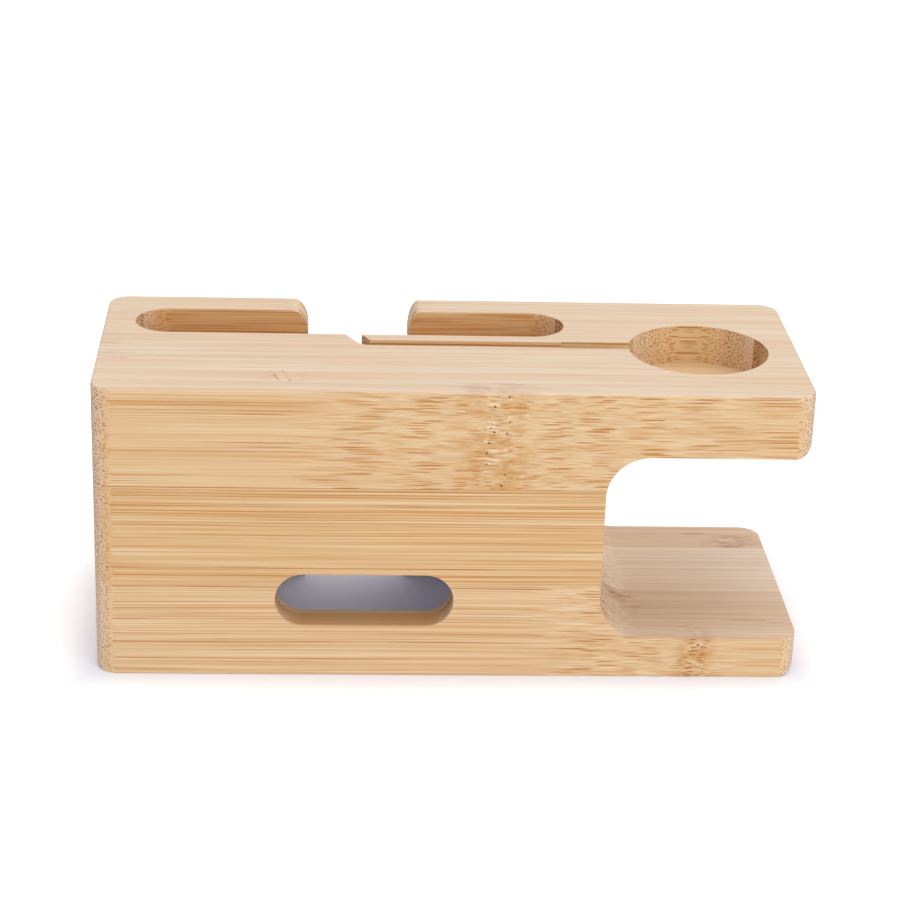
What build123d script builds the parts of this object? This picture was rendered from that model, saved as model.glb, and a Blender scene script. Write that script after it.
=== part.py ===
from build123d import *
import os

# Bamboo charging stand for a phone and a watch.
#
# Three layers of upright bamboo strips are glued into one block, and the block
# is milled: a deep slot holds the phone, an arm over an open bay carries the
# watch charger in a round recess, a narrow groove leads the charger's cable to
# the slot, and a hollow underneath takes the spare cable.  Every strip is its
# own piece, cut through by whatever milling crosses it.
#
# +X runs along the stand towards the watch arm, -Y is the front, +Z is up.
# The origin is under the middle of the stand, on the surface it stands on.

MM = 1

# Bamboo strips: how thick and how tall one strip is, and how they are stacked
strip_thickness = 6.35 * MM
layer_height = 23.8 * MM
strips_across = 10
layer_names = ["bottom", "middle", "top"]

# The whole block
stand_length = 165 * MM
corner_round = 5 * MM
edge_round = 0.6 * MM
heel_round = 1.5 * MM

# Watch arm, base plate and the bay between them
arm_thickness = 15.4 * MM
base_thickness = 10.2 * MM
bay_reach = 47.4 * MM
bay_round = 10 * MM
arm_tip_round = 4 * MM
base_tip_round = 4 * MM

# Phone slot: the web is what it leaves of the top layer under its floor
slot_end_wall = 7.3 * MM
slot_to_recess_wall = 14.2 * MM
slot_width = 16.5 * MM
slot_floor_web = 3.8 * MM
rear_wall = 9.3 * MM

# Cable channel down the back, open to the rear and to the slot
channel_from_slot_end = 41.4 * MM
channel_width = 24.5 * MM
channel_left_flare = 4.2 * MM
channel_left_flare_height = 6 * MM
channel_right_flare = 3 * MM
channel_right_flare_height = 7 * MM

# Hollow underneath and the cable hole in the front wall
front_wall = 8.3 * MM
hollow_end_wall = 24.5 * MM
hollow_bay_wall = 17.1 * MM
hollow_height = 31 * MM
hollow_round = 6 * MM
hole_inset = 17.2 * MM
hole_height = 13.1 * MM
hole_sill = 12.8 * MM

# Recess for the watch charger and the groove for its cable
recess_radius = 16.6 * MM
recess_depth = 9.4 * MM
recess_from_arm_tip = 23.7 * MM
recess_from_front = 30.2 * MM
tongue_wall = 3.8 * MM
groove_width = 3.4 * MM
groove_depth = 5 * MM
groove_bend = 2.2 * MM
groove_turn = 64
groove_exit_from_slot_end = 52.3 * MM
relief_width = 4.3 * MM
relief_depth = 6 * MM
relief_reach = 15.7 * MM

# How far a cutter runs past the face it opens
overrun = 1 * MM

# Overall sizes and the positions that follow from the sizes above
stand_depth = strips_across * strip_thickness
stand_height = len(layer_names) * layer_height
left_end = -stand_length / 2
right_end = stand_length / 2
front = -stand_depth / 2
rear = stand_depth / 2

recess_x = right_end - recess_from_arm_tip
recess_y = front + recess_from_front

slot_left = left_end + slot_end_wall
slot_right = recess_x - recess_radius - slot_to_recess_wall
slot_front = rear - rear_wall - slot_width
slot_depth = layer_height - slot_floor_web
slot_center = ((slot_left + slot_right) / 2, slot_front + slot_width / 2)

channel_left = slot_left + channel_from_slot_end
channel_right = channel_left + channel_width

hollow_left = left_end + hollow_end_wall
hollow_right = right_end - bay_reach - hollow_bay_wall
hollow_length = hollow_right - hollow_left
hollow_width = stand_depth - front_wall - rear_wall
hollow_center = ((hollow_left + hollow_right) / 2, front + front_wall + hollow_width / 2)
hole_length = hollow_length - 2 * hole_inset

groove_y = slot_front - tongue_wall - groove_width / 2
groove_exit_x = slot_left + groove_exit_from_slot_end

plan = Plane.XY
top = Plane.XY.offset(stand_height)
front_plane = Plane.XZ.offset(stand_depth / 2)
rear_plane = Plane.XZ.offset(-stand_depth / 2)


# The glued block, milled to shape
with BuildPart() as stand:
    # Outline seen from above
    with BuildSketch(plan):
        RectangleRounded(stand_length, stand_depth, corner_round)
    extrude(amount=stand_height)

    # Outline seen from the front: the watch arm over the base plate
    with BuildSketch(front_plane) as profile:
        Rectangle(stand_length, stand_height, align=(Align.CENTER, Align.MIN))
        with Locations((right_end, base_thickness)):
            bay_height = stand_height - arm_thickness - base_thickness
            Rectangle(bay_reach, bay_height, align=(Align.MAX, Align.MIN), mode=Mode.SUBTRACT)
        tip_corners = profile.vertices().group_by(Axis.X)[-1].sort_by(Axis.Y)
        fillet(tip_corners[0], base_tip_round)
        tip_corners = profile.vertices().group_by(Axis.X)[-1].sort_by(Axis.Y)
        fillet(tip_corners[2], arm_tip_round)
        fillet(profile.vertices().group_by(Axis.X)[1], bay_round)
        fillet(profile.vertices().group_by(Axis.X)[0].sort_by(Axis.Y)[0], heel_round)
    extrude(amount=-stand_depth, mode=Mode.INTERSECT)

    # The top edge is eased all round
    fillet(stand.edges().group_by(Axis.Z)[-1], edge_round)

    # Hollow underneath
    with BuildSketch(plan):
        with Locations(hollow_center):
            RectangleRounded(hollow_length, hollow_width, hollow_round)
    extrude(amount=hollow_height, mode=Mode.SUBTRACT)

    # Cable hole through the front wall
    with BuildSketch(front_plane):
        with Locations((hollow_center[0], hole_sill + hole_height / 2)):
            SlotOverall(hole_length, hole_height)
    extrude(amount=-(front_wall + overrun), mode=Mode.SUBTRACT)

    # Phone slot
    with BuildSketch(top):
        with Locations(slot_center):
            SlotOverall(slot_right - slot_left, slot_width)
    extrude(amount=-slot_depth, mode=Mode.SUBTRACT)

    # Cable channel down the back, flaring to rounded shoulders at the top
    with BuildSketch(rear_plane):
        with BuildLine():
            left_shoulder = EllipticalCenterArc(
                (channel_left - channel_left_flare, stand_height - channel_left_flare_height),
                channel_left_flare,
                channel_left_flare_height,
                start_angle=0,
                arc_size=90,
            )
            right_shoulder = EllipticalCenterArc(
                (channel_right + channel_right_flare, stand_height - channel_right_flare_height),
                channel_right_flare,
                channel_right_flare_height,
                start_angle=90,
                arc_size=90,
            )
            Polyline(
                left_shoulder @ 0,
                (channel_left, -overrun),
                (channel_right, -overrun),
                right_shoulder @ 1,
            )
            Polyline(
                right_shoulder @ 0,
                (channel_right + channel_right_flare, stand_height + overrun),
                (channel_left - channel_left_flare, stand_height + overrun),
                left_shoulder @ 1,
            )
        make_face()
    extrude(amount=rear_wall, mode=Mode.SUBTRACT)

    # Recess for the watch charger
    with BuildSketch(top):
        with Locations((recess_x, recess_y)):
            Circle(recess_radius)
    extrude(amount=-recess_depth, mode=Mode.SUBTRACT)

    # Cable groove: along the tongue beside the slot, then back into the slot
    with BuildSketch(top):
        with BuildLine():
            straight_start = (recess_x, groove_y)
            slot_mouth = Vector(groove_exit_x, slot_front)
            bend_reach = (slot_front - groove_y) / Vector(1, 0).rotate(Axis.Z, groove_turn).Y
            toward_slot = Vector(-1, 0).rotate(Axis.Z, -groove_turn)
            bend_point = slot_mouth - toward_slot * bend_reach
            FilletPolyline(
                straight_start, bend_point, slot_mouth + toward_slot * overrun, radius=groove_bend
            )
        trace(line_width=groove_width)
    extrude(amount=-groove_depth, mode=Mode.SUBTRACT)

    # Wider relief where the cable leaves the charger
    with BuildSketch(top):
        with Locations((recess_x, groove_y)):
            relief_length = recess_radius + relief_reach
            Rectangle(relief_length, relief_width, align=(Align.MAX, Align.CENTER))
    extrude(amount=-relief_depth, mode=Mode.SUBTRACT)


# The strips, each with its share of the milling
os.makedirs("parts", exist_ok=True)
side_names = {1: [""], 2: ["_left", "_right"], 3: ["_left", "_middle", "_right"]}

for layer, layer_name in enumerate(layer_names):
    for row in range(strips_across):
        with BuildPart() as strip:
            with BuildSketch(plan.offset(layer * layer_height)):
                with Locations((0, front + row * strip_thickness)):
                    Rectangle(stand_length, strip_thickness, align=(Align.CENTER, Align.MIN))
            extrude(amount=layer_height)
            add(stand.part, mode=Mode.INTERSECT)

        # Milling that goes right through a strip leaves it in separate pieces
        pieces = strip.part.solids().sort_by(Axis.X)
        for side_name, solid in zip(side_names[len(pieces)], pieces):
            with BuildPart() as piece:
                add(solid)
            piece.part.label = f"strip_{layer_name}_{row + 1:02d}{side_name}"
            export_step(piece.part, f"parts/{piece.part.label}.step")
            print(piece.part.label, round(piece.part.volume))
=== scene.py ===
"""Looks of the bamboo charging stand: laminated, milled bamboo on a pale studio floor.

Every strip of the laminate gets its own bamboo material, worked out from place inside
the strip. Fibre bundles run along it, so a wall that follows them shows long lines, one
that leaves them slowly shows short flecks, and one that cuts across them shows dots.

Lengths and places are in millimetres, along the frame's axes, unless a comment says
otherwise. A pair of shares says where a look starts to fade in and where it is full. Two
more shares in the same row say how strong it is at its start and when it is full.
"""

import math
import random

import bpy
from mathutils import Matrix, Vector


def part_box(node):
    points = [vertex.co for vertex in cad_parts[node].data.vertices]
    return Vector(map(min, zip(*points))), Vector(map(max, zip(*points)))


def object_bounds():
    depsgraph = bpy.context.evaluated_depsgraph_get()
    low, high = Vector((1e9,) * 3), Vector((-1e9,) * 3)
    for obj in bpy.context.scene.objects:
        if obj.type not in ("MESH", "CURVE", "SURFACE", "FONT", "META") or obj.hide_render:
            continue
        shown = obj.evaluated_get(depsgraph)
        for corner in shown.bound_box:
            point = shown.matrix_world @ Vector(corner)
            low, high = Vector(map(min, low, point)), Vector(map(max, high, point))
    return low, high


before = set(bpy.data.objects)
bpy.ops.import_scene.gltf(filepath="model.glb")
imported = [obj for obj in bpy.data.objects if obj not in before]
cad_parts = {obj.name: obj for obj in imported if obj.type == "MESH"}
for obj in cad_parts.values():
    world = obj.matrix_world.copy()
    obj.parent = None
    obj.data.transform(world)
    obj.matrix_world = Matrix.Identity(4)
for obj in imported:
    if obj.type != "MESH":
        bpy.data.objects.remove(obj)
cad_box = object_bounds()

MM = 0.001

# The laminate, as the frame gives it
STRIP_LOW, STRIP_HIGH = (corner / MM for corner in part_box("strip_middle_01"))
BLOCK_LOW, BLOCK_HIGH = (corner / MM for corner in cad_box)
STRIP_THICKNESS = STRIP_HIGH.y - STRIP_LOW.y
LAYER_HEIGHT = STRIP_HIGH.z - STRIP_LOW.z
STRIPS_ACROSS = round((BLOCK_HIGH.y - BLOCK_LOW.y) / STRIP_THICKNESS)
BAY_WALL = STRIP_HIGH.x
CORNER_ROUND = 5.0
LAYERS = ["bottom", "middle", "top"]
BOTTOM = LAYERS.index("bottom")
TOP = LAYERS.index("top")

# Camera: where it stands, how it is turned, and its lens on the sensor's width
CAMERA_PLACE = Vector((-31.38, -560.1, 278.3))
CAMERA_YAW = math.radians(3.272)
CAMERA_PITCH = math.radians(22.644)
CAMERA_ROLL = math.radians(-1.882)
CAMERA_LENS = 100.97
CAMERA_SENSOR = 36.0

# The screen's curve from colour levels to light
TOP_LEVEL = 255
DARK_END_SHARE = 0.04045
DARK_SLOPE = 12.92
CURVE_OFFSET_SHARE = 0.055
CURVE_POWER = 2.4

# Sockets of the node that mixes two colours
MIX_FIRST = 6
MIX_SECOND = 7
MIX_RESULT = 2

# How many layers of smaller and smaller noise are laid over each other
SMOOTH_LAYERS = 1.0
FINE_LAYERS = 2.0


def colour(red, green, blue):
    """A colour written as it looks on screen, from 0 to 255, as Blender's linear values."""

    def linear(level):
        share = level / TOP_LEVEL
        if share <= DARK_END_SHARE:
            return share / DARK_SLOPE
        return ((share + CURVE_OFFSET_SHARE) / (1 + CURVE_OFFSET_SHARE)) ** CURVE_POWER

    return (linear(red), linear(green), linear(blue), 1.0)


class Tree:
    """Short calls that add nodes to one node tree and link them."""

    def __init__(self, tree):
        self.tree = tree
        tree.nodes.clear()

    def add(self, kind, inputs=(), **settings):
        node = self.tree.nodes.new(kind)
        for name, value in settings.items():
            setattr(node, name, value)
        for socket, value in dict(inputs).items():
            self.feed(node.inputs[socket], value)
        return node

    def feed(self, socket, value):
        if isinstance(value, bpy.types.NodeSocket):
            self.tree.links.new(value, socket)
        else:
            socket.default_value = value

    def math(self, operation, *values):
        node = self.add("ShaderNodeMath", operation=operation)
        for socket, value in zip(node.inputs, values):
            self.feed(socket, value)
        return node.outputs["Value"]

    def plus(self, a, b):
        return self.math("ADD", a, b)

    def minus(self, a, b):
        return self.math("SUBTRACT", a, b)

    def times(self, a, b):
        return self.math("MULTIPLY", a, b)

    def over(self, a, b):
        return self.math("DIVIDE", a, b)

    def absolute(self, a):
        return self.math("ABSOLUTE", a)

    def lower(self, a, b):
        return self.math("MINIMUM", a, b)

    def higher(self, a, b):
        return self.math("MAXIMUM", a, b)

    def times_plus(self, a, b, c):
        return self.math("MULTIPLY_ADD", a, b, c)

    def less(self, mask, share):
        """1, less the share where the mask is 1."""
        return self.times_plus(mask, -share, 1.0)

    def middled(self, value, size):
        """A value of 0 to 1 brought to both sides of zero, size wide."""
        return self.times_plus(value, size, -size / 2)

    def ramp(self, value, low, high, to_low=0.0, to_high=1.0):
        """value brought smoothly from low..high to to_low..to_high, and held beyond them."""
        node = self.add("ShaderNodeMapRange", interpolation_type="SMOOTHSTEP")
        for name, number in (
            ("Value", value),
            ("From Min", low),
            ("From Max", high),
            ("To Min", to_low),
            ("To Max", to_high),
        ):
            self.feed(node.inputs[name], number)
        return node.outputs["Result"]

    def vector(self, x, y, z=0.0):
        return self.add("ShaderNodeCombineXYZ", {"X": x, "Y": y, "Z": z}).outputs["Vector"]

    def split(self, vector):
        return self.add("ShaderNodeSeparateXYZ", {"Vector": vector}).outputs

    def vector_math(self, operation, *vectors):
        node = self.add("ShaderNodeVectorMath", operation=operation)
        for socket, vector in zip(node.inputs, vectors):
            self.feed(socket, vector)
        return node.outputs["Value" if operation == "LENGTH" else "Vector"]

    def place(self):
        """The surface's place along each axis, in millimetres."""
        place = self.add("ShaderNodeTexCoord").outputs["Object"]
        return self.split(self.vector_math("MULTIPLY", place, (1 / MM, 1 / MM, 1 / MM)))

    def noise_outputs(self, vector, layers=SMOOTH_LAYERS):
        inputs = {"Vector": vector, "Scale": 1.0, "Detail": layers}
        return self.add("ShaderNodeTexNoise", inputs).outputs

    def noise(self, vector):
        """Smooth noise of 0 to 1."""
        return self.noise_outputs(vector)["Fac"]

    def fine_noise(self, vector):
        """Noise of 0 to 1 with smaller noise on it."""
        return self.noise_outputs(vector, FINE_LAYERS)["Fac"]

    def three_noises(self, vector):
        """Three smooth noises of 0 to 1."""
        return self.split(self.noise_outputs(vector)["Color"])

    def cells(self, vector, scatter_share=1.0):
        """Flat cells: distance to the nearest cell's point, three chances, and its place."""
        inputs = {"Vector": vector, "Scale": 1.0, "Randomness": scatter_share}
        outputs = self.add("ShaderNodeTexVoronoi", inputs, voronoi_dimensions="2D").outputs
        return outputs["Distance"], self.split(outputs["Color"]), outputs["Position"]

    def mix(self, factor, a, b):
        node = self.add("ShaderNodeMix", data_type="RGBA")
        self.feed(node.inputs["Factor"], factor)
        self.feed(node.inputs[MIX_FIRST], a)
        self.feed(node.inputs[MIX_SECOND], b)
        return node.outputs[MIX_RESULT]


# Bamboo colours
HONEY = colour(231, 196, 147)
PALE = colour(224, 205, 180)
PALEST = colour(248, 232, 212)
FRESH_CUT = colour(226, 198, 154)
END_GRAIN = colour(232, 210, 188)
END_GRAIN_BY_SKIN = colour(170, 118, 74)
# Darker milled colour for the slot and the cable hole: partly the cut wood's own tone, partly
# painted shade deep inside them
MILLED_TONE_AND_SHADE = colour(206, 152, 90)
FIBRE = colour(208, 146, 74)
FIBRE_DEEP = colour(188, 116, 52)
FIBRE_ON_TOP = colour(200, 164, 132)
FIBRE_CUT = colour(146, 94, 54)
FIBRE_CUT_BY_SKIN = colour(106, 56, 26)
CREAM = colour(246, 224, 184)
TAN = colour(210, 150, 76)
TAN_ON_TOP = colour(180, 128, 98)
PORE = colour(136, 84, 18)
FLECK = colour(172, 102, 46)
FLECK_ON_TOP = colour(140, 92, 72)
TICK = colour(184, 118, 82)
STREAK = colour(176, 122, 88)
GLUE = colour(172, 108, 66)

# How squarely a face looks along the stand for it to count as cut across the fibres
CUT_FACING_SHARES = (0.3, 0.85)

# How squarely a face looks up or down for it to count as narrow: there the sanded wood is
# pale, hairlines, bundles and knuckles are fainter, and ticks and streaks are seen
PALE_FACING_SHARES = (0.35, 0.9)
HAIRLINE_FACING_SHARES = (0.4, 0.9)
BUNDLE_FACING_SHARES = (0.5, 0.95, 1.0, 0.6)
KNUCKLE_FACING_SHARES = (0.3, 0.7)
TICK_FACING_SHARES = (0.6, 0.9)
STREAK_FACING_SHARES = (0.5, 0.8, 0.0, 0.75)

# Patterns along the fibres: how long and how wide one patch is
SWAY_PATCH = (70.0, 16.0)
THROW_PATCH = (6.0, 2.2)
HAIRLINE_PATCH = (80.0, 0.28)
BAND_PATCH = (110.0, 1.5)
CLOUD_PATCH = (50.0, 9.0)
WORN_PATCH = (24.0, 1.2)
TAN_PATCH = (6.0, 2.4)
STREAK_PATCH = (3.0, 0.5)
GLUE_PATCH = (18.0, 7.0)

# From which value to which these patterns, of 0 to 1, are seen
HAIRLINE_DARK_SHARES = (0.5, 0.7)
HAIRLINE_PALE_SHARES = (0.5, 0.26)
BAND_SHARES = (0.42, 0.75, 0.0, 0.3)
CLOUD_SHARES = (0.3, 0.8, 0.0, 0.14)
WORN_SHARES = (0.3, 0.6, 0.45, 1.0)
TAN_SHARES = (0.38, 0.72, 0.0, 0.7)
STREAK_BROKEN_SHARES = (0.25, 0.5)
GLUE_BROKEN_SHARES = (0.3, 0.7, 0.3, 1.0)

# What narrow faces, cut faces and knuckles keep or lose of a look
HAIRLINE_ON_NARROW_SHARE = 0.5
SHADE_LOST_ON_CUT_SHARE = 0.8
MILLED_LOST_ON_CUT_SHARE = 0.6
BUNDLE_ON_CUT_SHARE = 0.85
BUNDLE_LOST_IN_KNUCKLE_SHARE = 0.55

# Fibre bundles: how far apart they stand, how thick they are, how much of that is their dark
# core, how chance leaves some out, fewer by the skin side, and how far they sway up and down
BUNDLE_SPACING = 0.62
BUNDLE_SCATTER_SHARE = 0.85
BUNDLE_RADIUS = 0.115
BUNDLE_RADIUS_SPREAD = 0.08
BUNDLE_RADIUS_BY_SKIN = 0.05
BUNDLE_CORE_SHARE = 0.6
BUNDLE_BY_SKIN_SHARE = 0.5
BUNDLE_CHANCE_SHARES = (0.2, 0.35)
SWAY_UP = 0.8

# Knuckle, the ring across a bamboo stem where a leaf grew: its width and ragged edge, and how
# far it throws the fibres aside and up
KNUCKLE_HALF_WIDTH = 2.7
KNUCKLE_RAGGED = 3.2
KNUCKLE_RAGGED_DEEP = 3.0
KNUCKLE_RAGGED_HIGH = 1.7
KNUCKLE_FADE_OUTSIDE = 0.5
KNUCKLE_FADE_INSIDE = 0.8
THROW_ASIDE = 1.5
THROW_UP = 1.2

# Pale lenses in a knuckle, and a pore beside each
LENS_CELL = (5.6, 1.3)
LENS_EDGE_SHARES = (0.46, 0.16)
LENS_CHANCE_SHARES = (0.3, 0.6)
PORE_FROM_LENS = (0.5, -0.35, 0.0)
PORE_RADIUS = 0.4
PORE_CHANCE_SHARES = (0.42, 0.56)

# Short dark flecks around a knuckle, and what part of its reach they fill
FLECK_CELL = (3.6, 0.5)
FLECK_EDGE_SHARES = (0.32, 0.18)
FLECK_CHANCE_SHARES = (0.1, 0.55)
FLECK_REACH_SHARE = 0.7

# Thin ticks where a knuckle crosses a narrow face
TICK_PLACES = (-1.3, 1.3)
TICK_HALF_WIDTH = 0.42
TICK_CORE_SHARE = 1 / 3
TICK_LEAN_SHARE = 0.28
TICK_WAVER = 1.6
TICK_BREAKS_PER_MM = 0.9
TICK_BROKEN_SHARES = (0.4, 0.55)

# Dark streaks on narrow faces
STREAK_RAGGED = 0.8
STREAK_EDGE_SHARES = (1.1, 0.4)

# Milling and glue
SANDED_DEPTH = 0.3
MILLED_DEPTH = 0.8
GLUE_HALF_WIDTH = 0.16
GLUE_CORE_SHARE = 0.25
GLUE_BETWEEN_ROWS_SHARE = 0.22
GLUE_UNDER_LAYER_SHARES = {"middle": 0.4, "top": 0.75}

# Surface: how far hairlines and lenses stand up and bundles sink in, and how rough it is
HAIRLINE_RELIEF = 0.02
BUNDLE_RELIEF = -0.03
LENS_RELIEF = 0.06
BUMP_SHARE = 0.6
ROUGHNESS_SHARE = 0.46
ROUGHER_HAIRLINE_SHARE = 0.12
ROUGHER_CUT_SHARE = 0.12
REFRACTION = 1.46

# What the photograph shows of single strips. Knuckles: where they are along the stand, how
# far they reach, and how strong their lenses, pores, flecks, ticks and tan on top are
KNUCKLES = {
    "top_01": 9.5,
    "top_02": -38.8,
    "bottom_01": 58.0,
    "bottom_03": 43.5,
    "bottom_04": 42.0,
    "bottom_09": 74.0,
}
KNUCKLE_REACH = 8.0
KNUCKLE_REACHES = {
    "top_01": 13.0,
    "bottom_01": 6.0,
    "bottom_03": 3.5,
    "bottom_04": 4.5,
    "bottom_09": 9.0,
}
LENS_SHARE = 0.12
LENS_SHARES = {"top_01": 0.78}
PORE_SHARES = {"top_01": 1.0, "bottom_01": 0.9}
FLECK_SHARES = {
    "top_01": 0.65,
    "bottom_01": 1.0,
    "bottom_03": 0.8,
    "bottom_04": 0.9,
    "bottom_09": 0.8,
}
TICK_SHARES = {"top_01": 0.2, "top_02": 0.8, "bottom_04": 0.5}
SMUDGE_SHARE = 0.4
SMUDGE_SHARES = {
    "top_01": 0.6,
    "top_02": 0.25,
    "bottom_03": 0.7,
    "bottom_04": 1.0,
    "bottom_09": 0.9,
}

# Streaks: their middle along and across the stand, half their length and half their width
STREAKS = {
    "top_05": [(-82.0, -2.0, 7.0, 0.35), (-81.0, -0.5, 4.0, 0.25)],
    "top_04": [(-81.0, -8.2, 9.0, 0.3), (-78.0, -11.6, 8.0, 0.2)],
    "top_10": [(-4.0, 29.2, 2.4, 0.22)],
    "bottom_02": [(72.0, -22.1, 7.0, 0.3), (78.0, -23.4, 6.0, 0.25)],
    "bottom_10": [(66.0, 27.4, 5.0, 0.4), (76.0, 26.2, 6.0, 0.4)],
}

# Fibres: from where to where and how far they drift through the strip's face, and how much
# they sway. Two places past both ends of the stand take in the whole of it.
PAST_LEFT = -90.0
PAST_RIGHT = 90.0
DRIFT_SPREAD = 2.0
DRIFTS = {
    "top_01": (-45.0, 84.0, 5.4),
    "bottom_01": (16.0, 74.0, 2.1),
    "middle_01": (PAST_LEFT, PAST_RIGHT, 0.0),
}
SWAY = 0.6
SWAYS = {"middle_01": 0.14, "bottom_01": 0.25}

# Tone: how thick the bundles are against the usual, how far the strip is darker, or paler
# where the share is below zero, how strong its hairlines are, and the tone inside pockets
DENSITY_SPREAD_SHARES = (0.9, 1.12)
DENSITY_SHARES = {
    "top_01": 1.2,
    "middle_01": 1.1,
    "bottom_01": 1.0,
    "top_06": 1.3,
    "top_08": 1.25,
}
SHADE_SPREAD_SHARE = 0.05
SHADE_SHARES = {
    "middle_01": 0.08,
    "top_08": 0.02,
    "top_09": 0.05,
    "top_10": 0.05,
    "bottom_01": -0.1,
    "bottom_02": 0.08,
    "bottom_03": 0.1,
    "bottom_05": -0.5,
    "bottom_06": -0.6,
    "bottom_07": -0.6,
    "bottom_08": -0.55,
    "bottom_09": 0.06,
    "bottom_10": 0.08,
}
HAIRLINE_SHARE = 0.85
HAIRLINE_SHARES = {"top_01": 0.6, "bottom_01": 0.8}
# Pockets of top_09 (the slot) and bottom_01 (the cable hole) take the darker milled colour:
# partly their own tone, partly painted shade
POCKET_SHARE = 0.6
POCKET_SHARES = {"top_09": 0.4, "bottom_01": 0.75}
SHADED_POCKET_STRIPS = ["top_09", "bottom_01"]

# End grain: from where to where along the stand its tone by the skin side changes, and what
# part of that tone the rest of the strip has
# For top_08 the rise in tone to the right is partly the skin side's own tone and partly painted
# shade on the slot's right end wall
SKIN_REACHES = {"top_06": (45.0, 70.0), "top_07": (40.0, 75.0), "top_08": (-60.0, 20.0)}
SKIN_TONE_SHARES = (0.8, 1.0)
STRIP_SKIN_TONE_SHARES = {"top_06": (0.2, 1.1), "top_07": (0.1, 1.0), "top_08": (0.4, 1.7)}
INNER_TONE_SHARES = {"top_06": 0.6, "top_08": 0.25}

# Random draws: where they start, and how far apart two strips' patterns are taken
FIRST_DRAW = 11
PATTERN_STEP = 37.0

# Floor: half its width in metres, its colour, and how far it stays clear of the stand, so
# that the two never lie in one plane
FLOOR_HALF_SIZE = 3.0
FLOOR_GAP = 0.05
FLOOR_COLOUR = colour(240, 240, 242)

# The floor's glow for the camera: its colour under the stand, how far from the stand's outline
# it changes colour and strength, and how strong it is there
WHITE = colour(255, 255, 255)
# Under the stand the glow is weak and bluish: painted cool light on the shaded floor seen through
# the cable hole
SHADED_FLOOR_GLOW_COLOUR = colour(160, 190, 255)
GLOW_COLOUR_EDGE = (-4.0, 8.0)
GLOW_NEAR = (-4.0, 16.0)
GLOW_NEAR_SHARES = (0.108, 0.4)
GLOW_FAR = (100.0, 500.0)
GLOW_FAR_SHARES = (0.0, 0.3)

# Light from all round
AMBIENT_COLOUR = colour(250, 250, 255)
AMBIENT_SHARE = 0.42

# Softboxes: place, width and height in metres, and power in watts. They look at one height.
SOFTBOXES = {
    "overhead": ((0.05, 0.1, 1.2), 1.1, 2.4, 11.0),
    "front_right": ((0.8, -1.2, 0.6), 0.9, 0.9, 6.3),
    "front": ((0.0, -1.4, 0.5), 0.9, 0.7, 1.5),
    "right": ((1.3, -0.1, 0.5), 0.9, 0.8, 1.9),
    "left": ((-1.3, -0.1, 0.5), 0.9, 0.8, 1.8),
}
AIM_HEIGHT = 30.0


class Strip:
    """One strip of one layer: where it lies and what its bamboo is like."""

    def __init__(self, name, chance):
        shade_share = chance.uniform(-SHADE_SPREAD_SHARE, SHADE_SPREAD_SHARE)
        density_share = chance.uniform(*DENSITY_SPREAD_SHARES)
        drift = chance.uniform(-DRIFT_SPREAD, DRIFT_SPREAD)
        layer, number = name.split("_")
        layer_above = dict(zip(LAYERS, LAYERS[1:])).get(layer)

        self.name = name
        self.layer = LAYERS.index(layer)
        self.row = int(number) - 1
        self.front = BLOCK_LOW.y + self.row * STRIP_THICKNESS
        self.floor = self.layer * LAYER_HEIGHT
        self.pattern = PATTERN_STEP * (self.layer * STRIPS_ACROSS + self.row)
        self.glue_below_share = GLUE_UNDER_LAYER_SHARES.get(layer)
        self.glue_above_share = GLUE_UNDER_LAYER_SHARES.get(layer_above)

        self.drift = DRIFTS.get(name, (PAST_LEFT, PAST_RIGHT, drift))
        self.sway = SWAYS.get(name, SWAY)
        self.density_share = DENSITY_SHARES.get(name, density_share)
        self.shade_share = SHADE_SHARES.get(name, shade_share)
        self.hairline_share = HAIRLINE_SHARES.get(name, HAIRLINE_SHARE)
        self.pocket_share = POCKET_SHARES.get(name, POCKET_SHARE)
        self.pocket_colour = MILLED_TONE_AND_SHADE if name in SHADED_POCKET_STRIPS else FRESH_CUT
        self.skin_reach = SKIN_REACHES.get(name, (PAST_LEFT, PAST_RIGHT))
        self.skin_tone_shares = STRIP_SKIN_TONE_SHARES.get(name, SKIN_TONE_SHARES)
        self.inner_tone_share = INNER_TONE_SHARES.get(name, 0.0)
        self.streaks = STREAKS.get(name, [])

        self.knuckle = KNUCKLES.get(name)
        self.knuckle_reach = KNUCKLE_REACHES.get(name, KNUCKLE_REACH)
        self.lens_share = LENS_SHARES.get(name, LENS_SHARE)
        self.pore_share = PORE_SHARES.get(name, 0.0)
        self.fleck_share = FLECK_SHARES.get(name, 0.0)
        self.tick_share = TICK_SHARES.get(name, 0.0)
        self.smudge_share = SMUDGE_SHARES.get(name, SMUDGE_SHARE)


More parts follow.
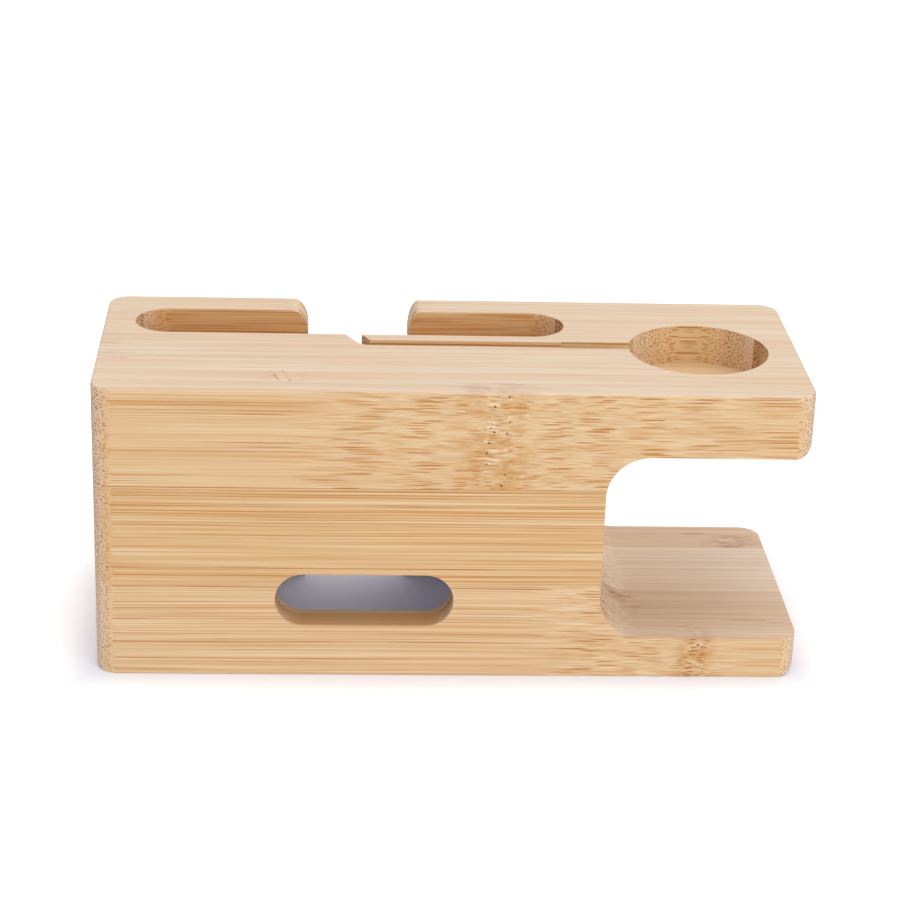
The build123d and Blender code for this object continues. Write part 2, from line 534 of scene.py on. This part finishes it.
class Bamboo(Tree):
    """The node tree of one strip's material. It works in millimetres."""

    def __init__(self, tree, strip):
        super().__init__(tree)
        self.strip = strip
        self.x, self.y, self.z = self.place()
        normal = self.add("ShaderNodeTexCoord").outputs["Normal"]
        facing = self.split(self.vector_math("ABSOLUTE", normal))
        self.cut = self.ramp(facing["X"], *CUT_FACING_SHARES)
        self.narrow = facing["Z"]
        self.skin = self.over(self.minus(self.y, strip.front), STRIP_THICKNESS)

    def grain(self, patch, following=False):
        """Place in a pattern of long patches, which may follow the fibres as they sway."""
        length, width = patch
        y, z = (self.fibre_y, self.fibre_z) if following else (self.y, self.z)
        along = self.plus(self.over(self.x, length), self.strip.pattern)
        return self.vector(along, self.over(y, width), self.over(z, width))

    def knuckle_grain(self, cell, aside):
        """Place in a pattern of flat cells that starts at the knuckle."""
        length, height = cell
        along = self.plus(self.over(self.from_knuckle, length), self.strip.pattern)
        return self.vector(along, self.over(aside, height))

    def follow_fibres(self):
        """Fibres sway, and drift through the strip's face where the strip was cut askew."""
        aside, up, _ = self.three_noises(self.grain(SWAY_PATCH))
        start, end, amount = self.strip.drift
        drift = self.ramp(self.x, start, end, 0.0, amount)
        through = self.plus(self.middled(aside, self.strip.sway), drift)
        self.fibre_y = self.plus(self.y, through)
        self.fibre_z = self.plus(self.z, self.middled(up, SWAY_UP))

    def place_knuckle(self):
        """How near the surface is to the knuckle, whose edge is ragged."""
        deep = self.over(self.y, KNUCKLE_RAGGED_DEEP)
        high = self.over(self.z, KNUCKLE_RAGGED_HIGH)
        unevenness = self.noise(self.vector(self.strip.pattern, deep, high))
        unevenness = self.middled(unevenness, KNUCKLE_RAGGED)
        self.from_knuckle = self.plus(self.minus(self.x, self.strip.knuckle), unevenness)

        distance = self.absolute(self.from_knuckle)
        outside = KNUCKLE_HALF_WIDTH + KNUCKLE_FADE_OUTSIDE
        inside = KNUCKLE_HALF_WIDTH - KNUCKLE_FADE_INSIDE
        reach = self.strip.knuckle_reach
        self.in_knuckle = self.ramp(distance, outside, inside)
        self.by_knuckle = self.ramp(distance, reach, KNUCKLE_HALF_WIDTH)
        self.flecked = self.ramp(distance, reach * FLECK_REACH_SHARE, KNUCKLE_HALF_WIDTH / 2)

    def throw_fibres(self):
        """The fibres part around the knuckle."""
        aside, up, _ = self.three_noises(self.grain(THROW_PATCH))
        aside = self.middled(aside, THROW_ASIDE)
        up = self.middled(up, THROW_UP)
        self.fibre_y = self.times_plus(aside, self.by_knuckle, self.fibre_y)
        self.fibre_z = self.times_plus(up, self.by_knuckle, self.fibre_z)

    def lay_bundles(self):
        """Fibre bundles as round rods, closer and thicker towards the strip's skin side."""
        aside = self.over(self.fibre_y, BUNDLE_SPACING)
        up = self.over(self.fibre_z, BUNDLE_SPACING)
        section = self.vector(self.plus(aside, self.strip.pattern), up)
        distance, chances, _ = self.cells(section, BUNDLE_SCATTER_SHARE)
        presence, thickness, self.bundle_tone = chances
        presence = self.times_plus(self.skin, BUNDLE_BY_SKIN_SHARE, presence)
        presence = self.ramp(presence, *BUNDLE_CHANCE_SHARES)
        radius = self.times_plus(thickness, BUNDLE_RADIUS_SPREAD, BUNDLE_RADIUS)
        radius = self.times_plus(self.skin, BUNDLE_RADIUS_BY_SKIN, radius)
        radius = self.times(radius, self.strip.density_share / BUNDLE_SPACING)
        rod = self.ramp(distance, radius, self.times(radius, BUNDLE_CORE_SHARE))
        self.bundle = self.times(rod, presence)

    def measure_depth(self):
        """How far inside the block's sanded outside the surface lies."""
        along = self.absolute(self.x)
        self.depth = self.lower(self.z, self.minus(BLOCK_HIGH.z, self.z))
        for outside in (
            self.minus(self.y, BLOCK_LOW.y),
            self.minus(BLOCK_HIGH.y, self.y),
            self.minus(BLOCK_HIGH.x - CORNER_ROUND, along),
        ):
            self.depth = self.lower(self.depth, outside)

    def ground(self):
        """The wood between the bundles: end grain, honey broad faces, pale narrow ones."""
        # End grain darkens towards the skin side and along the stand; for top_08 that is partly
        # painted shade at the slot's right end
        tone = self.ramp(self.x, *self.strip.skin_reach, *self.strip.skin_tone_shares)
        by_skin = self.times_plus(self.skin, self.skin, self.strip.inner_tone_share)
        self.tone = self.times(tone, by_skin)
        body = self.mix(self.tone, END_GRAIN, END_GRAIN_BY_SKIN)
        body = self.mix(self.cut, HONEY, body)
        sanded = self.ramp(self.depth, MILLED_DEPTH, SANDED_DEPTH)
        if self.strip.layer == BOTTOM:
            on_base = self.ramp(self.x, BAY_WALL - MILLED_DEPTH, BAY_WALL)
            underneath = self.ramp(self.z, MILLED_DEPTH, SANDED_DEPTH)
            sanded = self.higher(on_base, underneath)
        pale = self.times(self.ramp(self.narrow, *PALE_FACING_SHARES), sanded)
        return self.mix(pale, body, PALE)

    def draw_lines(self, body):
        """Broad bands, hairlines darker and paler than the wood, and faint clouds."""
        self.fine = self.fine_noise(self.grain(HAIRLINE_PATCH, following=True))
        bands = self.fine_noise(self.grain(BAND_PATCH, following=True))
        clouds = self.noise(self.grain(CLOUD_PATCH))
        strengths = (self.strip.hairline_share, HAIRLINE_ON_NARROW_SHARE)
        strength = self.ramp(self.narrow, *HAIRLINE_FACING_SHARES, *strengths)
        dark = self.times(self.ramp(self.fine, *HAIRLINE_DARK_SHARES), strength)
        pale = self.times(self.ramp(self.fine, *HAIRLINE_PALE_SHARES), strength)
        body = self.mix(self.ramp(bands, *BAND_SHARES), body, FIBRE)
        body = self.mix(dark, body, FIBRE)
        body = self.mix(pale, body, CREAM)
        return self.mix(self.ramp(clouds, *CLOUD_SHARES), body, FIBRE)

    def shaded(self, body):
        """The strip as a whole is a little darker or paler, less so on cut faces."""
        share = abs(self.strip.shade_share)
        strength = self.times_plus(self.cut, -SHADE_LOST_ON_CUT_SHARE * share, share)
        return self.mix(strength, body, FIBRE if self.strip.shade_share > 0 else PALEST)

    def milled(self, body):
        """Pockets cut into the block keep a deeper tone than its sanded outside. In the slot and
        the cable hole the darker milled colour is partly their own tone and partly painted shade.
        """
        inside = self.ramp(self.depth, SANDED_DEPTH, MILLED_DEPTH, 0.0, self.strip.pocket_share)
        if self.strip.layer < TOP:
            left_of_bay = self.ramp(self.x, BAY_WALL, BAY_WALL - MILLED_DEPTH)
            inside = self.times(inside, left_of_bay)
        inside = self.times(inside, self.less(self.cut, MILLED_LOST_ON_CUT_SHARE))
        return self.mix(inside, body, self.strip.pocket_colour)

    def draw_bundles(self, body):
        """Lines and flecks along the grain, dark dots across it, faint lines on top."""
        along = self.mix(self.bundle_tone, FIBRE, FIBRE_DEEP)
        along = self.mix(self.narrow, along, FIBRE_ON_TOP)
        dots = self.mix(self.tone, FIBRE_CUT, FIBRE_CUT_BY_SKIN)
        shade = self.mix(self.cut, along, dots)
        worn = self.noise(self.grain(WORN_PATCH, following=True))
        worn = self.ramp(worn, *WORN_SHARES)
        strength = self.higher(worn, self.times(self.cut, BUNDLE_ON_CUT_SHARE))
        strength = self.times(strength, self.bundle)
        strength = self.times(strength, self.ramp(self.narrow, *BUNDLE_FACING_SHARES))
        if self.strip.knuckle is not None:
            left = self.less(self.in_knuckle, BUNDLE_LOST_IN_KNUCKLE_SHARE)
            strength = self.times(strength, left)
        return self.mix(strength, body, shade)

    def smudged(self, mask):
        """A knuckle's tan and flecks are weaker, or not, on the strip's narrow face."""
        strengths = (1.0, self.strip.smudge_share)
        return self.times(mask, self.ramp(self.narrow, *KNUCKLE_FACING_SHARES, *strengths))

    def draw_tan(self, body):
        """Patches of tan around the knuckle."""
        patches = self.fine_noise(self.grain(TAN_PATCH))
        tanned = self.times(self.by_knuckle, self.ramp(patches, *TAN_SHARES))
        return self.mix(self.smudged(tanned), body, self.mix(self.narrow, TAN, TAN_ON_TOP))

    def draw_lenses(self, body):
        """Pale lenses in the knuckle on broad faces, with a dark pore beside each."""
        on_broad = self.ramp(self.narrow, *reversed(KNUCKLE_FACING_SHARES))
        on_broad = self.times(self.in_knuckle, on_broad)
        place = self.knuckle_grain(LENS_CELL, self.z)
        distance, (lens_chance, pore_chance, _), middle = self.cells(place)
        lens = self.ramp(distance, *LENS_EDGE_SHARES)
        lens = self.times(lens, self.ramp(lens_chance, *LENS_CHANCE_SHARES))
        self.lens = self.times(lens, self.times(on_broad, self.strip.lens_share))
        body = self.mix(self.lens, body, CREAM)

        away = self.vector_math("SUBTRACT", place, middle)
        away = self.vector_math("MULTIPLY", away, (*LENS_CELL, 0.0))
        away = self.vector_math("SUBTRACT", away, PORE_FROM_LENS)
        pore = self.ramp(self.vector_math("LENGTH", away), PORE_RADIUS, PORE_RADIUS / 2)
        pore = self.times(pore, self.ramp(pore_chance, *PORE_CHANCE_SHARES))
        pore = self.times(self.times(pore, on_broad), self.strip.pore_share)
        return self.mix(pore, body, PORE)

    def draw_flecks(self, body):
        """Short dark flecks around the knuckle."""
        place = self.knuckle_grain(FLECK_CELL, self.plus(self.y, self.z))
        distance, (chance, _, _), _ = self.cells(place)
        fleck = self.ramp(distance, *FLECK_EDGE_SHARES)
        fleck = self.times(fleck, self.ramp(chance, *FLECK_CHANCE_SHARES))
        fleck = self.smudged(self.times(fleck, self.flecked))
        shade = self.mix(self.narrow, FLECK, FLECK_ON_TOP)
        return self.mix(self.times(fleck, self.strip.fleck_share), body, shade)

    def draw_ticks(self, body):
        """Thin, leaning, broken lines where the knuckle crosses a narrow face."""
        waver = self.fine_noise(self.vector(self.strip.pattern, self.y))
        lean = TICK_LEAN_SHARE * STRIP_THICKNESS
        line = self.times_plus(self.skin, lean, self.middled(waver, TICK_WAVER))
        line = self.plus(self.minus(self.x, self.strip.knuckle), line)
        for tick_place in TICK_PLACES:
            distance = self.absolute(self.minus(line, tick_place))
            tick = self.ramp(distance, TICK_HALF_WIDTH, TICK_HALF_WIDTH * TICK_CORE_SHARE)
            broken = self.vector(tick_place, self.times(self.y, TICK_BREAKS_PER_MM))
            tick = self.times(tick, self.ramp(self.noise(broken), *TICK_BROKEN_SHARES))
            tick = self.times(tick, self.ramp(self.narrow, *TICK_FACING_SHARES))
            body = self.mix(self.times(tick, self.strip.tick_share), body, TICK)
        return body

    def draw_streaks(self, body):
        """Single dark streaks in the strip's narrow face, tapering at both ends."""
        ragged = self.fine_noise(self.grain(STREAK_PATCH))
        for x, y, half_length, half_width in self.strip.streaks:
            along = self.over(self.minus(self.x, x), half_length)
            aside = self.plus(self.minus(self.y, y), self.middled(ragged, STREAK_RAGGED))
            away = self.vector(along, self.over(aside, half_width))
            streak = self.ramp(self.vector_math("LENGTH", away), *STREAK_EDGE_SHARES)
            streak = self.times(streak, self.ramp(ragged, *STREAK_BROKEN_SHARES))
            streak = self.times(streak, self.ramp(self.narrow, *STREAK_FACING_SHARES))
            body = self.mix(streak, body, STREAK)
        return body

    def draw_glue(self, body):
        """Thin lines of glue against the strips before, behind, below and above."""
        strip = self.strip
        from_front = self.minus(self.y, strip.front)
        from_back = self.minus(strip.front + STRIP_THICKNESS, self.y)
        from_floor = self.minus(self.z, strip.floor)
        from_ceiling = self.minus(strip.floor + LAYER_HEIGHT, self.z)
        seams = []
        if strip.row > 0:
            seams.append((from_front, GLUE_BETWEEN_ROWS_SHARE))
        if strip.row < STRIPS_ACROSS - 1:
            seams.append((from_back, GLUE_BETWEEN_ROWS_SHARE))
        if strip.glue_below_share:
            seams.append((from_floor, strip.glue_below_share))
        if strip.glue_above_share:
            seams.append((from_ceiling, strip.glue_above_share))
        broken = self.ramp(self.fine_noise(self.grain(GLUE_PATCH)), *GLUE_BROKEN_SHARES)
        core = GLUE_HALF_WIDTH * GLUE_CORE_SHARE
        for gap, share in seams:
            line = self.ramp(gap, GLUE_HALF_WIDTH, core, 0.0, share)
            body = self.mix(self.times(line, broken), body, GLUE)
        return body

    def finish(self, body, relief):
        """Satin oil over the wood, rougher on hairlines and where it is cut across."""
        roughness = self.times_plus(self.fine, ROUGHER_HAIRLINE_SHARE, ROUGHNESS_SHARE)
        roughness = self.times_plus(self.cut, ROUGHER_CUT_SHARE, roughness)
        bump_inputs = {"Height": relief, "Strength": BUMP_SHARE, "Distance": MM}
        bump = self.add("ShaderNodeBump", bump_inputs)
        shader_inputs = {
            "Base Color": body,
            "Roughness": roughness,
            "Normal": bump.outputs["Normal"],
            "IOR": REFRACTION,
        }
        shader = self.add("ShaderNodeBsdfPrincipled", shader_inputs)
        self.add("ShaderNodeOutputMaterial", {"Surface": shader.outputs["BSDF"]})


def strip_material(strip):
    """One strip's own bamboo."""
    material = bpy.data.materials.new("bamboo_" + strip.name)
    material.use_nodes = True
    wood = Bamboo(material.node_tree, strip)
    wood.follow_fibres()
    if strip.knuckle is not None:
        wood.place_knuckle()
        wood.throw_fibres()
    wood.lay_bundles()
    wood.measure_depth()
    body = wood.shaded(wood.draw_lines(wood.ground()))
    body = wood.draw_bundles(wood.milled(body))
    sunk = wood.times(wood.bundle, BUNDLE_RELIEF)
    relief = wood.times_plus(wood.fine, HAIRLINE_RELIEF, sunk)
    if strip.knuckle is not None:
        body = wood.draw_lenses(wood.draw_tan(body))
        body = wood.draw_ticks(wood.draw_flecks(body))
        relief = wood.times_plus(wood.lens, LENS_RELIEF, relief)
    wood.finish(wood.draw_glue(wood.draw_streaks(body)), relief)
    return material


def dress_strips():
    """Every CAD strip takes the bamboo of its layer and number."""
    chance = random.Random(FIRST_DRAW)

    def strip_of(node):
        """top_10 for the node strip_top_10_left."""
        _, layer, number = node.split("_")[:3]
        return layer + "_" + number

    names = sorted({strip_of(node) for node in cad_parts})
    materials = {name: strip_material(Strip(name, chance)) for name in names}
    for node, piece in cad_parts.items():
        piece.data.materials.clear()
        piece.data.materials.append(materials[strip_of(node)])


def floor_material():
    """Pale paint, with a glow that only the camera sees, so that the floor looks white. Under the
    stand the glow is weak and bluish: painted cool light on the shaded floor seen through the
    cable hole.
    """
    material = bpy.data.materials.new("pale_floor")
    material.use_nodes = True
    t = Tree(material.node_tree)
    x, y, _ = t.place()
    right = t.minus(t.absolute(x), BLOCK_HIGH.x)
    rear = t.minus(t.absolute(y), BLOCK_HIGH.y)
    outside = t.higher(right, rear)
    seen = t.add("ShaderNodeLightPath").outputs["Is Camera Ray"]
    near = t.ramp(outside, *GLOW_NEAR, *GLOW_NEAR_SHARES)
    far = t.ramp(outside, *GLOW_FAR, *GLOW_FAR_SHARES)
    strength = t.times(seen, t.plus(near, far))
    tint = t.mix(t.ramp(outside, *GLOW_COLOUR_EDGE), SHADED_FLOOR_GLOW_COLOUR, WHITE)
    matt = t.add("ShaderNodeBsdfDiffuse", {"Color": FLOOR_COLOUR})
    glow = t.add("ShaderNodeEmission", {"Color": tint, "Strength": strength})
    both = t.add("ShaderNodeAddShader", {0: matt.outputs["BSDF"], 1: glow.outputs["Emission"]})
    t.add("ShaderNodeOutputMaterial", {"Surface": both.outputs["Shader"]})
    return material


def pale_floor():
    """A wide white floor that keeps the object's soft shadow."""
    half = FLOOR_HALF_SIZE
    low = -FLOOR_GAP * MM
    mesh = bpy.data.meshes.new("floor")
    corners = [(-half, -half, low), (half, -half, low), (half, half, low), (-half, half, low)]
    mesh.from_pydata(corners, [], [list(range(len(corners)))])
    mesh.materials.append(floor_material())
    floor = bpy.data.objects.new("floor", mesh)
    bpy.context.scene.collection.objects.link(floor)


def white_world():
    """Soft light from all round, and a white background for the camera and the gloss."""
    world = bpy.data.worlds.new("studio")
    bpy.context.scene.world = world
    world.use_nodes = True
    t = Tree(world.node_tree)
    ambient_inputs = {"Color": AMBIENT_COLOUR, "Strength": AMBIENT_SHARE}
    ambient = t.add("ShaderNodeBackground", ambient_inputs).outputs["Background"]
    white = t.add("ShaderNodeBackground", {"Color": WHITE, "Strength": 1.0}).outputs["Background"]
    rays = t.add("ShaderNodeLightPath").outputs
    seen = t.higher(rays["Is Camera Ray"], rays["Is Glossy Ray"])
    both = t.add("ShaderNodeMixShader", {0: seen, 1: ambient, 2: white}).outputs["Shader"]
    t.add("ShaderNodeOutputWorld", {"Surface": both})


def softbox(name, place, width, height, power):
    """A rectangular area light that looks at the middle of the stand."""
    light = bpy.data.lights.new(name, "AREA")
    light.shape = "RECTANGLE"
    light.size = width
    light.size_y = height
    light.energy = power
    box = bpy.data.objects.new(name, light)
    box.location = Vector(place)
    aim = Vector((0, 0, AIM_HEIGHT * MM)) - box.location
    box.rotation_euler = aim.to_track_quat("-Z", "Y").to_euler()
    bpy.context.scene.collection.objects.link(box)


def studio():
    """White world, pale floor and softboxes."""
    white_world()
    pale_floor()
    for name, (place, width, height, power) in SOFTBOXES.items():
        softbox(name, place, width, height, power)


def photograph_camera():
    """A camera at the photograph's place, turned by its yaw, pitch and roll."""
    level_ahead = Vector((math.sin(CAMERA_YAW), math.cos(CAMERA_YAW), 0))
    level_right = Vector((math.cos(CAMERA_YAW), -math.sin(CAMERA_YAW), 0))
    up = Vector((0, 0, 1))
    ahead = math.cos(CAMERA_PITCH) * level_ahead - math.sin(CAMERA_PITCH) * up
    right = math.cos(CAMERA_ROLL) * level_right
    right += math.sin(CAMERA_ROLL) * ahead.cross(level_right)
    down = ahead.cross(right)
    camera = bpy.data.cameras.new("camera")
    camera.sensor_width = CAMERA_SENSOR
    camera.lens = CAMERA_LENS
    holder = bpy.data.objects.new("camera", camera)
    turn = Matrix((right, -down, -ahead)).transposed().to_4x4()
    holder.matrix_world = Matrix.Translation(CAMERA_PLACE * MM) @ turn
    bpy.context.scene.collection.objects.link(holder)
    bpy.context.scene.camera = holder


def corners(box):
    """The box's lowest and highest corner as plain lists."""
    return [list(corner) for corner in box]


dress_strips()
studio()
photograph_camera()
bpy.context.scene.view_settings.view_transform = "Standard"
